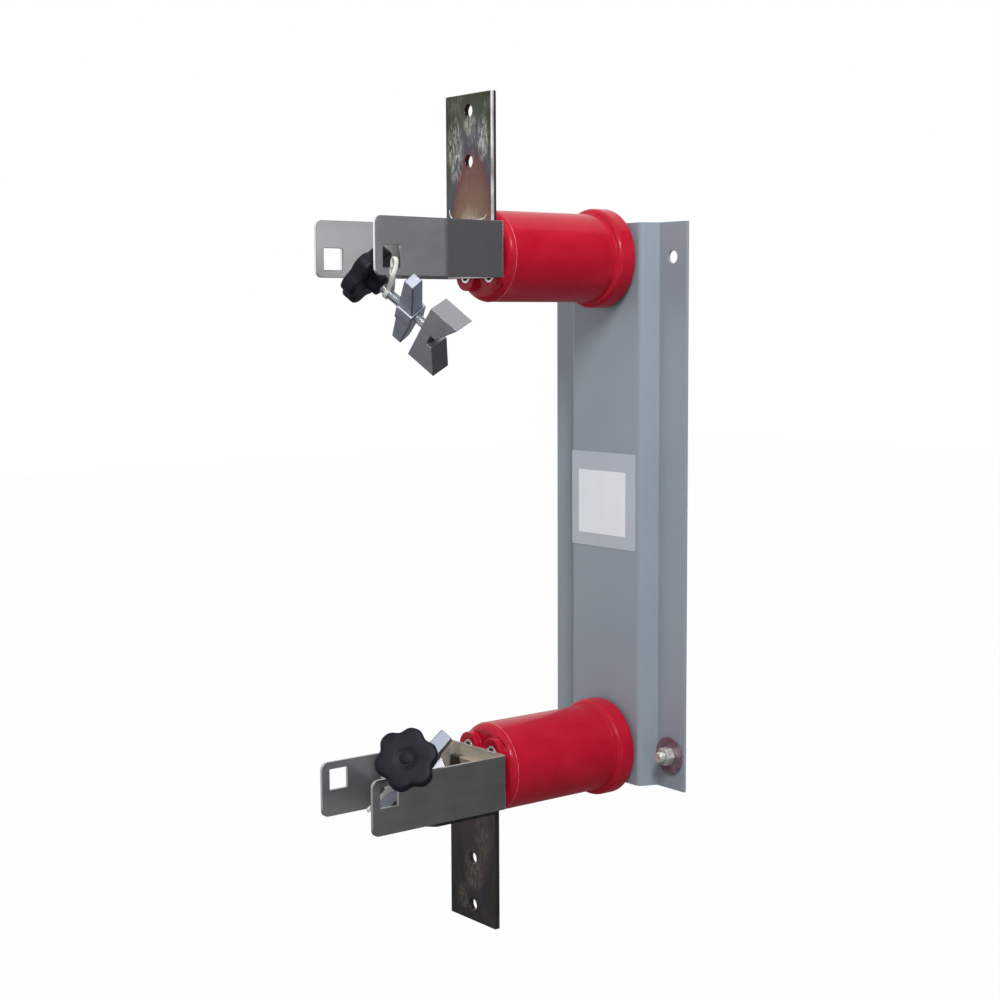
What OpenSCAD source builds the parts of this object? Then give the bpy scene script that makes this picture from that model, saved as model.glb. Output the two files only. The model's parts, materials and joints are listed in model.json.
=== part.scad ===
// Non-disconnect power fuse mount: a bent steel base with two standoff
// insulators, each carrying a spring clip, a terminal bar and a screw clamp.
// The wall face lies in the plane Y = 0, the object stands out along -Y, +Z is up
// and the origin is the middle of the wall face.

/* [Base channel] */
// Length of the base, top to bottom
base_h = 495; // [440:5:640]
// Width over the two wall flanges
base_w = 172; // [164:1:190]
// Distance from the wall face to the front of the raised web
base_depth = 19; // [18:0.5:30]
// Thickness of the base sheet
base_t = 2.7; // [2:0.1:3.2]
// Width over the raised web at its front
web_w = 92; // [90:1:98]
// Width over the two foot bends, where the flanges start
foot_w = 101; // [100:1:106]
// Bend radius at the middle of the sheet
base_bend_r = 4; // [3:0.5:5]
// Diameter of a wall hole
wall_hole_d = 11; // [8:0.5:12]
// Half the distance between wall holes, side to side
wall_hole_x = 68.5; // [66:0.5:72]

/* [Insulators] */
// Distance of each insulator axis from the nearer end of the base
axis_in = 30; // [24:0.5:60]
// Length of the moulding from its rear rim to its front face
ins_len = 140; // [110:1:180]
// Diameter of the barrel
ins_d = 76.2; // [72:0.1:80]
// Diameter of the flared rear rim
flare_d = 86; // [82:0.5:90]
// Length of the straight part of the flare
flare_len = 13.5; // [8:0.5:20]
// Gap that the rear seat leaves between rim and base
seat_h = 2.4; // [1:0.2:4]
// Diameter of the rear seat
seat_d = 62; // [58:1:70]
// Radius of the front shoulder
shoulder_r = 7; // [4:0.5:9]
// Height of the lobed front boss
lobe_h = 5.6; // [4:0.2:8]
// Radius of each lobe round an insert
lobe_r = 12.6; // [10:0.2:14]
// Distance between neighbouring inserts
insert_pitch = 32.5; // [30:0.5:36]
// Outer diameter of a threaded insert
insert_d = 12.5; // [11:0.5:14]
// Length of a threaded insert
insert_len = 20; // [14:1:30]

/* [Spring clips] */
// Height of the clip strip
clip_h = 45.8; // [42:0.2:48]
// Clear width between the arms at the web
clip_in_w = 71.4; // [68:0.2:76]
// Thickness of the clip sheet
clip_t = 3; // [2:0.2:3.4]
// Length from the insulator face to the arm ends
clip_len = 136; // [132:1:150]
// Distance of the clip axis beyond the insulator axis, away from the middle
clip_shift = 4.2; // [3:0.2:4.6]
// Bend radius at the middle of the clip sheet
clip_bend_r = 2.4; // [2:0.2:4]
// Corner radius of the arm ends
arm_corner_r = 6; // [2:0.5:9]
// Side of the square window in each arm
window_s = 17.5; // [14:0.5:18.5]
// Distance of the window centre from the arm end
window_in = 16.3; // [14:0.1:20]
// Distance of the window centre from the clip axis, towards the middle
window_drop = 8; // [4:0.5:9]
// Outward bend of the upper clip's right arm at its end
upper_near_splay = 12.5; // [9:0.5:13]
// Rightward lean of the upper clip's left arm at its end
upper_far_lean = 2.7; // [0:0.1:4]

/* [Terminals] */
// Width of a terminal bar
term_w = 62.5; // [58:0.5:66]
// Thickness of a terminal bar
term_t = 5; // [3:0.5:6]
// Reach of a terminal bar beyond the insulator axis, outwards
term_out = 132; // [110:0.5:160]
// Reach of its inner end past the insulator axis, inside the clip
term_in = 8; // [2:0.5:11]
// Diameter of a cable lug hole
lug_hole_d = 10.3; // [8:0.1:13]
// Distance of the outer lug hole from the bar end
lug_edge = 14; // [10:0.5:18]
// Distance between the two lug holes
lug_pitch = 41; // [30:0.5:45]
// Length of the seat plate under the lower clip
seat_plate_len = 71; // [40:1:78]
// Width of the seat plate
seat_plate_w = 74; // [73:0.5:77]
// Thickness of the seat plate
seat_plate_t = 3; // [2:0.2:5]
// Corner cut of the seat plate
seat_plate_cut = 7; // [2:0.5:12]

/* [Screw clamps] */
// Diameter of the knob over its lobes
knob_d = 50.8; // [44:0.1:51]
// Depth of the hollows between the lobes
lobe_depth = 3.8; // [1:0.2:5]
// Number of lobes
knob_lobes = 6; // [5:1:8]
// Thickness of the knob rim
knob_t = 13; // [11:0.5:15]
// Diameter of the dish in the knob's outer face
dish_d = 18; // [14:0.5:24]
// Depth of the dish
dish_depth = 1.2; // [0.6:0.1:2]
// Diameter of the button left in the middle of the dish
button_d = 8; // [6:0.5:9]
// Diameter of the knob hub
hub_d = 17; // [13:0.5:17.5]
// Length of the knob hub behind the rim
hub_len = 10; // [8:0.5:11]
// Diameter of the screw
screw_d = 7.9; // [6:0.1:8.4]
// Depth of the screw inside the knob
screw_in_knob = 16; // [10:0.5:18]
// Length of the screw from the knob rim to the jaw
screw_len = 57.6; // [57.2:0.1:60]
// Length of the crossbar
bar_len = 84; // [78:1:85]
// Width of the crossbar at its tips
bar_tip_w = 11.4; // [9:0.2:12.6]
// Width of the crossbar beside its boss
bar_mid_w = 12.8; // [12:0.2:14]
// Depth of the crossbar at its tips
bar_tip_t = 9.3; // [7:0.1:11]
// Depth of the crossbar beside its boss
bar_mid_t = 14.4; // [11:0.1:15.4]
// Length and depth of the crossbar boss
boss_s = 16; // [15:0.2:16.6]
// Width of the crossbar boss
boss_w = 17.4; // [15:0.2:20]
// Length of the jaw block
jaw_len = 53; // [46:1:54]
// Width of the jaw block
jaw_w = 20.3; // [18:0.1:21]
// Depth of the jaw block
jaw_t = 27.2; // [24:0.2:28]
// Thickness of the jaw's back wall
jaw_back = 9.8; // [8:0.2:11]
// Width of the groove at the root of the jaw
groove_w = 9; // [8.6:0.2:12]
// Depth of that groove
groove_h = 5.3; // [4:0.1:7]
// Distance from the upper crossbar to the knob rim
upper_reach = 31.6; // [30:0.2:36]
// Distance from the lower crossbar to the knob rim
lower_reach = 40.3; // [40:0.1:40.6]

/* [Cable ties] */
// Width of the strap
tie_w = 3.6; // [2.4:0.2:4.2]
// Thickness of the strap
tie_t = 1.2; // [0.8:0.1:1.4]

/* [Fasteners] */
// Diameter of the mounting bolts
bolt_d = 7.9; // [6:0.1:8.2]
// Width across flats of the bolt heads
bolt_af = 12.7; // [11:0.1:14]
// Height of a bolt head
bolt_head_h = 5.3; // [4:0.1:6]
// Depth of a bolt in its insert
bolt_grip = 12; // [8:1:13]
// Outer diameter of a flat washer
washer_d = 17.5; // [15:0.5:22]
// Thickness of a flat washer
washer_t = 1.6; // [1:0.1:2.5]
// Outer diameter of a lock washer
lock_d = 13.6; // [12:0.1:15]
// Thickness of a lock washer
lock_t = 2; // [1.2:0.1:2.2]
// Diameter of the ground stud's thread
ground_d = 9.5; // [8:0.1:10]
// Length of the ground stud in front of the flange
ground_len = 15; // [13:0.5:20]
// Outer diameter of the ground washer
ground_washer_d = 33; // [24:1:34]
// Width across flats of the ground nut
ground_af = 14.3; // [13:0.1:17]
// Height of the ground nut
ground_nut_h = 8; // [6:0.5:9]

/* [Label] */
// Side of the square label plate
label_s = 85; // [40:1:86]
// Thickness of the label plate
label_t = 0.4; // [0.3:0.1:0.8]
// Sideways position of the label centre
label_x = -2.4; // [-2.5:0.1:2.5]
// Height of the label centre
label_z = 4; // [-40:1:40]

/* [Hidden] */
// Clearances: round sliding fits, press fits and free space between pieces
fit = 0.05;
seat_fit = 0.02;
free = 0.3;
// Heights above the middle of the base
ins_z = base_h / 2 - axis_in;
term_end_z = ins_z + term_out;
term_in_z = ins_z - term_in;
// Distances from the wall face, measured outwards
web_back = base_depth - base_t;
ins_rear = base_depth + seat_h;
ins_face = ins_rear + ins_len;
term_rear = ins_face + clip_t;
term_face = term_rear + term_t;
arm_end = ins_face + clip_len;
clip_z = ins_z + clip_shift;
window_y = arm_end - window_in;
window_z = clip_z - window_drop;
clip_edge = clip_z + clip_h / 2;
// Threaded bores are drawn at the size of the bolt that fills them
thread_r = bolt_d / 2 + fit;
clear_r = bolt_d / 2 + 0.5;
insert_xy = insert_pitch / 2;
// Screw thread: travel of the jaw for one turn of the knob
thread_pitch = 1.411;
// Distance from the crossbar to the jaw
upper_gap = screw_len - upper_reach;
lower_gap = screw_len - lower_reach;
// Where each crossbar's knob face meets the screw axis, and how it is turned:
// local X runs along the crossbar and local Z from the knob to the jaw
upper_at = [45.4, 12.6 - window_y, ins_z - 41.1];
upper_turn = [137.5, 29.5, 153];
upper_knob_turn = 15;
upper_jaw_turn = -19;
lower_at = [21.2, 34.7 - window_y, -ins_z + 14.8];
lower_turn = [127.5, 43.5, -103.5];
lower_knob_turn = 35;
lower_jaw_turn = 28;
$fn = 64;

// Bent sheet: a centre line with round corners, thickened to both sides
function unit(v) = v / norm(v);
function corner_arc(a, b, c, r, n) =
    let (u = unit(a - b), v = unit(c - b), half = acos(u * v) / 2)
    let (o = b + unit(u + v) * r / sin(half))
    let (p = b + u * r / tan(half) - o, q = b + v * r / tan(half) - o)
    let (a0 = atan2(p[1], p[0]), d = atan2(q[1], q[0]) - a0)
    let (s = d > 180 ? d - 360 : d < -180 ? d + 360 : d)
    [for (i = [0:n]) o + r * [cos(a0 + s * i / n), sin(a0 + s * i / n)]];
function bent(path, r, n) = [path[0],
    for (i = [1:len(path) - 2]) each corner_arc(path[i - 1], path[i], path[i + 1], r, n),
    path[len(path) - 1]];
function edge_pt(p, i, off) =
    let (k = max(i, 1), m = min(i, len(p) - 2))
    let (a = unit(p[k] - p[k - 1]), b = unit(p[m + 1] - p[m]))
    let (na = [-a[1], a[0]], nb = [-b[1], b[0]], d = unit(na + nb))
    p[i] + d * off / (d * na);
module bent_sheet(path, t, r) {
    p = bent(path, r, 6);
    n = len(p) - 1;
    polygon(concat([for (i = [0:n]) edge_pt(p, i, t / 2)],
        [for (i = [n:-1:0]) edge_pt(p, i, -t / 2)]));
}

// Stands a piece on the wall plane, so that its Z runs outwards
module outwards(h = 0, x = 0, z = 0) {
    translate([x, -h, z]) rotate([90, 0, 0]) children();
}
// A side outline, drawn as [distance from the wall, height], given its width
module side_slab(w) {
    translate([-w / 2, 0, 0]) rotate([90, 0, 90]) linear_extrude(w)
        mirror([1, 0]) children();
}
module ring(d, h, r) {
    difference() {
        cylinder(d = d, h = h);
        translate([0, 0, -1]) cylinder(r = r, h = h + 2);
    }
}
module lock_ring() {
    difference() {
        ring(lock_d, lock_t, bolt_d / 2 + 0.2);
        translate([0, -0.8, -1]) cube([lock_d, 1.6, lock_t + 2]);
    }
}
module hex_bolt(grip) {
    cylinder(d = bolt_af / cos(30), h = bolt_head_h, $fn = 6);
    translate([0, 0, -grip]) cylinder(d = bolt_d, h = grip + 1);
}
module four_corners(s) {
    for (x = [-1, 1], y = [-1, 1]) translate([x * s, y * s, 0]) children();
}
// Repeats a piece on the upper and the lower insulator axis
module both_axes(h) {
    for (s = [-1, 1]) outwards(h, 0, s * ins_z) children();
}
// The outward pair of inserts, which carries a clip and its terminal
module clip_pair(h) {
    for (s = [-1, 1], x = [-1, 1])
        outwards(h, x * insert_xy, s * (ins_z + insert_xy)) children();
}

module mounting_base() {
    half_web = web_w / 2 - base_t / 2;
    color([0.58, 0.61, 0.64]) difference() {
        translate([0, 0, -base_h / 2]) linear_extrude(base_h)
            bent_sheet([[-base_w / 2, -base_t / 2], [-foot_w / 2, -base_t / 2],
                [-half_web, -base_depth + base_t / 2],
                [half_web, -base_depth + base_t / 2],
                [foot_w / 2, -base_t / 2], [base_w / 2, -base_t / 2]],
                base_t, base_bend_r);
        for (x = [-1, 1], z = [-1, 1])
            outwards(-1, x * wall_hole_x, z * ins_z)
                cylinder(d = wall_hole_d, h = base_t + 2);
        both_axes(web_back - 1) four_corners(insert_xy)
            cylinder(r = clear_r, h = base_t + 2);
    }
}

module label_plate() {
    color([0.74, 0.77, 0.8])
        translate([label_x - label_s / 2, -base_depth - label_t, label_z - label_s / 2])
            cube([label_s, label_t, label_s]);
}

// Moulded standoff, drawn with its axis along Z and its rear rim at Z = 0
module insulator() {
    body_len = ins_len - lobe_h;
    rim_r = 2;
    round_r = flare_d / 2 - ins_d / 2;
    difference() {
        union() {
            rotate_extrude() {
                square([ins_d / 2, body_len - shoulder_r]);
                square([ins_d / 2 - shoulder_r, body_len]);
                intersection() {
                    translate([ins_d / 2 - shoulder_r, body_len - shoulder_r])
                        circle(r = shoulder_r);
                    square([ins_d, ins_len]);
                }
                translate([0, rim_r]) square([flare_d / 2, flare_len - rim_r]);
                square([flare_d / 2 - rim_r, rim_r]);
                intersection() {
                    translate([flare_d / 2 - rim_r, rim_r]) circle(r = rim_r);
                    square([flare_d, rim_r]);
                }
                intersection() {
                    translate([ins_d / 2, flare_len]) circle(r = round_r);
                    translate([0, flare_len]) square([flare_d, round_r]);
                }
                translate([0, -seat_h]) square([seat_d / 2, seat_h + 1]);
            }
            translate([0, 0, body_len - 1]) {
                four_corners(insert_xy) cylinder(r = lobe_r, h = lobe_h + 1);
                translate([-insert_xy, -insert_xy, 0])
                    cube([insert_pitch, insert_pitch, lobe_h + 1]);
            }
        }
        four_corners(insert_xy) {
            translate([0, 0, ins_len - insert_len])
                cylinder(d = insert_d + 2 * seat_fit, h = insert_len + 1);
            translate([0, 0, -seat_h - 1])
                cylinder(d = insert_d + 2 * seat_fit, h = insert_len + 1);
        }
    }
}
module insulator_upper() {
    color([0.72, 0.13, 0.21]) outwards(ins_rear, 0, ins_z) insulator();
}
module insulator_lower() {
    color([0.72, 0.13, 0.21]) outwards(ins_rear, 0, -ins_z) insulator();
}
// Threaded brass bushes moulded into both ends
module front_inserts() {
    color([0.8, 0.78, 0.7]) both_axes(ins_face - insert_len)
        four_corners(insert_xy) ring(insert_d, insert_len, thread_r);
}
module rear_inserts() {
    color([0.8, 0.78, 0.7]) both_axes(base_depth)
        four_corners(insert_xy) ring(insert_d, insert_len, thread_r);
}

// U-shaped clip: s is +1 above and -1 below, near and far move the arm ends
module spring_clip(s, near, far) {
    c = clip_in_w / 2 + clip_t / 2;
    y = -ins_face - clip_t / 2;
    difference() {
        intersection() {
            translate([0, 0, s * clip_z - clip_h / 2]) linear_extrude(clip_h)
                bent_sheet([[-c + far, -arm_end - 1], [-c, y], [c, y],
                    [c + near, -arm_end - 1]], clip_t, clip_bend_r);
            translate([0, 0, s * clip_z]) side_slab(2 * base_w) {
                translate([ins_face - 1, -clip_h / 2])
                    square([clip_len + 1 - arm_corner_r, clip_h]);
                translate([ins_face, -clip_h / 2 + arm_corner_r])
                    square([clip_len, clip_h - 2 * arm_corner_r]);
                for (z = [-1, 1])
                    translate([arm_end - arm_corner_r, z * (clip_h / 2 - arm_corner_r)])
                        circle(r = arm_corner_r);
            }
        }
        translate([-base_w, -window_y - window_s / 2, s * window_z - window_s / 2])
            cube([2 * base_w, window_s, window_s]);
        clip_pair(ins_face - 1) cylinder(r = clear_r, h = clip_t + 2);
    }
}
module clip_upper() {
    color([0.6, 0.6, 0.61]) spring_clip(1, upper_near_splay, upper_far_lean);
}
module clip_lower() {
    color([0.45, 0.45, 0.46]) spring_clip(-1, 0, 0);
}

module terminal_bar(s) {
    len = term_end_z - term_in_z;
    mid = s * (term_end_z + term_in_z) / 2;
    difference() {
        translate([-term_w / 2, -term_face, mid - len / 2]) cube([term_w, term_t, len]);
        for (k = [0, 1])
            outwards(term_rear - 1, 0, s * (term_end_z - lug_edge - k * lug_pitch))
                cylinder(d = lug_hole_d, h = term_t + 2);
        clip_pair(term_rear - 1) cylinder(r = clear_r, h = term_t + 2);
    }
}
module terminal_upper() {
    color([0.42, 0.38, 0.34]) terminal_bar(1);
}
module terminal_lower() {
    color([0.28, 0.26, 0.24]) terminal_bar(-1);
}
// Plate across the open lower side of the lower clip, on which the fuse stands
module seat_plate() {
    w = seat_plate_w / 2;
    y0 = -term_face;
    y1 = -term_face - seat_plate_len;
    color([0.4, 0.4, 0.4]) translate([0, 0, -clip_edge - seat_plate_t])
        linear_extrude(seat_plate_t)
            polygon([[-w, y0], [w, y0], [w, y1 + seat_plate_cut],
                [w - seat_plate_cut, y1], [-w + seat_plate_cut, y1],
                [-w, y1 + seat_plate_cut]]);
}

module clip_washers() {
    color([0.7, 0.7, 0.7]) clip_pair(term_face) ring(washer_d, washer_t, bolt_d / 2 + 0.2);
}
module clip_lock_washers() {
    color([0.6, 0.6, 0.6]) clip_pair(term_face + washer_t) lock_ring();
}
module clip_bolts() {
    stack = washer_t + lock_t + term_t + clip_t;
    color([0.72, 0.7, 0.62]) clip_pair(term_face + washer_t + lock_t)
        hex_bolt(stack + bolt_grip);
}
// The same fasteners from behind the web into the rear inserts
module behind_web(h) {
    both_axes(web_back - h) four_corners(insert_xy) mirror([0, 0, 1]) children();
}
module base_washers() {
    color([0.7, 0.7, 0.7]) behind_web(0) ring(washer_d, washer_t, bolt_d / 2 + 0.2);
}
module base_lock_washers() {
    color([0.6, 0.6, 0.6]) behind_web(washer_t) lock_ring();
}
module base_bolts() {
    stack = washer_t + lock_t + base_t;
    color([0.72, 0.7, 0.62]) behind_web(washer_t + lock_t) hex_bolt(stack + bolt_grip);
}

// Lobed knob: rim from Z = -knob_t to 0, hub above it, dished outer face
function lobe_at(a) = knob_d / 2 - lobe_depth * pow((1 - cos(knob_lobes * a)) / 2, 1.6);
module knob() {
    n = knob_lobes * 12;
    // Each row is [height, how far the outline is drawn in]
    rows = [[-knob_t, 2.6], [-knob_t + 0.4, 1.3], [-knob_t + 1.2, 0.4],
        [-knob_t + 2.4, 0], [-2, 0], [-0.7, 0.5], [0, 1.8]];
    k = len(rows);
    pts = [for (r = rows, i = [0:n - 1])
        let (a = 360 * i / n, q = lobe_at(a) - r[1]) [q * cos(a), q * sin(a), r[0]]];
    difference() {
        union() {
            polyhedron(pts, concat(
                [[for (i = [0:n - 1]) i], [for (i = [n - 1:-1:0]) (k - 1) * n + i]],
                [for (j = [0:k - 2], i = [0:n - 1])
                    [j * n + i, (j + 1) * n + i, (j + 1) * n + (i + 1) % n, j * n + (i + 1) % n]]));
            translate([0, 0, -1]) cylinder(d = hub_d, h = hub_len + 1);
        }
        translate([0, 0, hub_len - screw_in_knob])
            cylinder(d = screw_d + 2 * seat_fit, h = screw_in_knob + 1);
        translate([0, 0, -knob_t - dish_depth]) difference() {
            cylinder(d1 = dish_d + 2 * dish_depth, d2 = dish_d - 5 * dish_depth,
                h = 2 * dish_depth);
            cylinder(d = button_d, h = 3 * dish_depth);
        }
    }
}
// Screw with a tenon that is riveted over in the groove of the jaw
tenon_d = screw_d - 1.9;
module clamp_screw() {
    tip = screw_len - free;
    translate([0, 0, hub_len - screw_in_knob])
        cylinder(d = screw_d, h = tip - hub_len + screw_in_knob);
    translate([0, 0, tip - 1]) cylinder(d = tenon_d, h = jaw_back + 2 * free + 2);
    translate([0, 0, tip + jaw_back + 2 * free]) cylinder(d = tenon_d + 2.2, h = 1.6);
}
// Cast crossbar: flat on the knob side, deepest at the boss
module crossbar() {
    b = bar_len / 2;
    m = boss_s / 2;
    difference() {
        union() {
            intersection() {
                translate([0, boss_w, 0]) rotate([90, 0, 0]) linear_extrude(2 * boss_w)
                    polygon([[-b, 0], [b, 0], [b, bar_tip_t], [m, bar_mid_t],
                        [-m, bar_mid_t], [-b, bar_tip_t]]);
                translate([0, 0, -1]) linear_extrude(boss_s + 2)
                    polygon([[-b, -bar_tip_w / 2], [-m, -bar_mid_w / 2],
                        [m, -bar_mid_w / 2], [b, -bar_tip_w / 2], [b, bar_tip_w / 2],
                        [m, bar_mid_w / 2], [-m, bar_mid_w / 2], [-b, bar_tip_w / 2]]);
            }
            translate([-m, -boss_w / 2, 0]) cube([boss_s, boss_w, boss_s]);
        }
        translate([0, 0, -1]) cylinder(d = screw_d + 2 * fit, h = boss_s + 2);
    }
}
// Cast jaw: a wide shallow V with a square groove at its root
module jaw() {
    l = jaw_len / 2;
    g = groove_w / 2;
    difference() {
        translate([0, jaw_w / 2, 0]) rotate([90, 0, 0]) linear_extrude(jaw_w)
            polygon([[-l, 0], [l, 0], [l, jaw_t], [g, jaw_back + groove_h],
                [g, jaw_back], [-g, jaw_back], [-g, jaw_back + groove_h], [-l, jaw_t]]);
        translate([0, 0, -1]) cylinder(d = tenon_d + 2 * fit, h = jaw_back + 2);
    }
}
module upper_clamp(h = 0) {
    translate(upper_at) rotate(upper_turn) translate([0, 0, h]) children();
}
module lower_clamp(h = 0) {
    translate(lower_at) rotate(lower_turn) translate([0, 0, h]) children();
}
module knob_upper() {
    color([0.2, 0.21, 0.24]) upper_clamp(-upper_reach) rotate(upper_knob_turn) knob();
}
module screw_upper() {
    color([0.7, 0.73, 0.75]) upper_clamp(-upper_reach) clamp_screw();
}
module crossbar_upper() {
    color([0.55, 0.56, 0.6]) upper_clamp() crossbar();
}
module jaw_upper() {
    color([0.5, 0.51, 0.54]) upper_clamp(upper_gap) rotate(upper_jaw_turn) jaw();
}
module knob_lower() {
    color([0.2, 0.21, 0.24]) lower_clamp(-lower_reach) rotate(lower_knob_turn) knob();
}
module screw_lower() {
    color([0.7, 0.73, 0.75]) lower_clamp(-lower_reach) clamp_screw();
}
module crossbar_lower() {
    color([0.55, 0.56, 0.6]) lower_clamp() crossbar();
}
module jaw_lower() {
    color([0.5, 0.51, 0.54]) lower_clamp(lower_gap) rotate(lower_jaw_turn) jaw();
}

// Cable ties: a flat strap swept round a closed route. Each point of a route is
// [place, direction of the strap's width].
function turn(q, r) =
    let (a = [q[0], q[1] * cos(r[0]) - q[2] * sin(r[0]), q[1] * sin(r[0]) + q[2] * cos(r[0])])
    let (b = [a[0] * cos(r[1]) + a[2] * sin(r[1]), a[1], a[2] * cos(r[1]) - a[0] * sin(r[1])])
    [b[0] * cos(r[2]) - b[1] * sin(r[2]), b[0] * sin(r[2]) + b[1] * cos(r[2]), b[2]];
// Part of the strap that lies round a screw, between two angles
tie_r = screw_d / 2 + 0.5 + tie_t / 2;
function round_screw(at, r, h, a0, a1, n) = [for (i = [0:n])
    let (a = a0 + (a1 - a0) * i / n)
    [at + turn([tie_r * cos(a), tie_r * sin(a), -h], r), turn([0, 0, 1], r)]];
module strap(route) {
    n = len(route);
    pts = [for (i = [0:n - 1])
        let (p = route[i][0], t = unit(route[(i + 1) % n][0] - route[(i + n - 1) % n][0]))
        let (w = unit(route[i][1] - (route[i][1] * t) * t), m = cross(t, w))
        each [p + w * tie_w / 2 + m * tie_t / 2, p - w * tie_w / 2 + m * tie_t / 2,
            p - w * tie_w / 2 - m * tie_t / 2, p + w * tie_w / 2 - m * tie_t / 2]];
    polyhedron(pts, [for (i = [0:n - 1], j = [0:3])
        let (k = (i + 1) % n, q = (j + 1) % 4)
        each [[i * 4 + j, k * 4 + j, k * 4 + q], [i * 4 + j, k * 4 + q, i * 4 + q]]]);
}
// X of the upper clip's right arm at its middle, at a distance from the wall
function near_arm_x(y) = clip_in_w / 2 + clip_t / 2
    + upper_near_splay * (y - ins_face) / clip_len;
module tie_upper() {
    y = window_y - 3.6;
    x = near_arm_x(y);
    out = clip_t / 2 + tie_t / 2 + 0.7;
    lip = window_z - window_s / 2;
    edge = clip_z - clip_h / 2;
    color([0.9, 0.9, 0.86]) {
        strap(concat([[[x, -y, lip + 1.9], [0, 1, 0]],
            [[x + out, -y - 0.5, lip + 0.5], [0, 1, -0.3]],
            [[x + out + 0.5, -y - 4, edge - 0.5], [0, 1, -0.5]]],
            round_screw(upper_at, upper_turn, 15, 190, 442, 11),
            [[[x - out - 0.5, -y + 1, edge - 1.5], [0.3, 1, 0]],
            [[x - out, -y + 0.5, edge + 1], [0, 1, 0]],
            [[x - out, -y, lip + 0.5], [0, 1, 0]]]));
        translate([x - out - 3.6, -y - 2.6, edge + 2]) cube([3.4, 5.2, 4.6]);
    }
}
module tie_lower() {
    y = window_y - 5.9;
    x = clip_in_w / 2 + clip_t / 2;
    out = clip_t / 2 + tie_t / 2 + 0.7;
    lip = -window_z + window_s / 2;
    edge = -clip_z + clip_h / 2;
    color([0.9, 0.9, 0.86]) {
        strap(concat([[[x, -y, lip - 1.9], [0, 1, 0]], [[x + out, -y, lip - 0.5], [0, 1, 0]],
            [[x + out, -y + 1, edge + 0.5], [0, 1, 0]],
            [[x, -y + 3, edge + 2.2], [0.3, 1, -0.7]],
            [[x - 4, -y + 8, edge + 2.8], [-0.1, 0.8, -0.8]]],
            round_screw(lower_at, lower_turn, 12, 78, 288, 10),
            [[[x - out - 3.6, -y + 5, lip - 0.5], [0.1, 0, -1]],
            [[x - out - 1, -y, lip - 2], [0, 1, 0]]]));
        translate([x - out - 4.4, -y - 2.6, lip - 6.6]) cube([3.4, 5.2, 4.6]);
    }
}

// Clinch stud in the lower right wall hole, flush with the wall face
module ground_stud() {
    color([0.7, 0.62, 0.6]) outwards(0, wall_hole_x, -ins_z) {
        cylinder(d = wall_hole_d - 2 * seat_fit, h = base_t);
        cylinder(d = ground_d, h = base_t + ground_len);
    }
}
module ground_washer() {
    color([0.45, 0.38, 0.4]) outwards(base_t, wall_hole_x, -ins_z)
        intersection() {
            ring(ground_washer_d, washer_t, ground_d / 2 + 0.2);
            // Its wall side is drawn in, clear of the foot bend
            cylinder(d1 = ground_washer_d - 3.2, d2 = ground_washer_d + 3.2, h = washer_t);
        }
}
module ground_nut() {
    color([0.75, 0.66, 0.64]) outwards(base_t + washer_t, wall_hole_x, -ins_z)
        difference() {
            cylinder(d = ground_af / cos(30), h = ground_nut_h, $fn = 6);
            translate([0, 0, -1]) cylinder(r = ground_d / 2 + fit, h = ground_nut_h + 2);
        }
}

mounting_base();
label_plate();
insulator_upper();
insulator_lower();
front_inserts();
rear_inserts();
clip_upper();
clip_lower();
terminal_upper();
terminal_lower();
seat_plate();
clip_bolts();
clip_washers();
clip_lock_washers();
base_bolts();
base_washers();
base_lock_washers();
knob_upper();
screw_upper();
crossbar_upper();
jaw_upper();
tie_upper();
knob_lower();
screw_lower();
crossbar_lower();
jaw_lower();
tie_lower();
ground_stud();
ground_washer();
ground_nut();
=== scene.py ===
# %% [markdown]
# # Dressing a fuse mount
# The real object is a grey painted channel that carries two red standoffs. Each standoff
# has a spring clip, a flat terminal bar and a knob clamp that is tied on for shipping.
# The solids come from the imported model, so this lesson only adds looks. The scene is in
# metres, and MM turns sizes in millimetres into them. X runs to the right, Z up, and the
# front of the object looks towards -Y.

# %% Load the solids
import json
import math
import bpy
import bmesh
from mathutils import Euler, Matrix, Vector, noise

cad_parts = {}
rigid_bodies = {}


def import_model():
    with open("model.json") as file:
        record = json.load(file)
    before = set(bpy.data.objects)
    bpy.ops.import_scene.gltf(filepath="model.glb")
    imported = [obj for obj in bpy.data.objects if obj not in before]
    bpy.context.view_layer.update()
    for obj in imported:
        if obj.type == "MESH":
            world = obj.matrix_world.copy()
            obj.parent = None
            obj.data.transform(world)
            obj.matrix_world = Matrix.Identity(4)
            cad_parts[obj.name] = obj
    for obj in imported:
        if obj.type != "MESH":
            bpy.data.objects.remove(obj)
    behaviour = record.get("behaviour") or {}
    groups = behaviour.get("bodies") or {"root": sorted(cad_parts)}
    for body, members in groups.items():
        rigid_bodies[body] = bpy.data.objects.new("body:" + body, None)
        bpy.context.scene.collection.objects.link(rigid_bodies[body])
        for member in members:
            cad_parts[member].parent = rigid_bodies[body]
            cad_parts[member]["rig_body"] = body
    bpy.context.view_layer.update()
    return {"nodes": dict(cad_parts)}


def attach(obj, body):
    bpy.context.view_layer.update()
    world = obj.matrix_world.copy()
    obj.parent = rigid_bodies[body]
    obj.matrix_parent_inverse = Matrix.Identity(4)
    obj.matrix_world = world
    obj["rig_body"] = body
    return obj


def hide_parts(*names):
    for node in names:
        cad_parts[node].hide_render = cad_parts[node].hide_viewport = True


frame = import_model()

MM = 0.001
# Sizes in mm that several pieces share
STANDOFF_Z = 217.5
CLIP_Z, CLIP_HEIGHT, CLIP_SHEET, CLIP_LENGTH = 221.7, 45.8, 3.0, 136.0
WINDOW_Z, WINDOW = 213.7, 17.5
WEB_FRONT = -19.0
SCREW_RADIUS = 3.95

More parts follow.
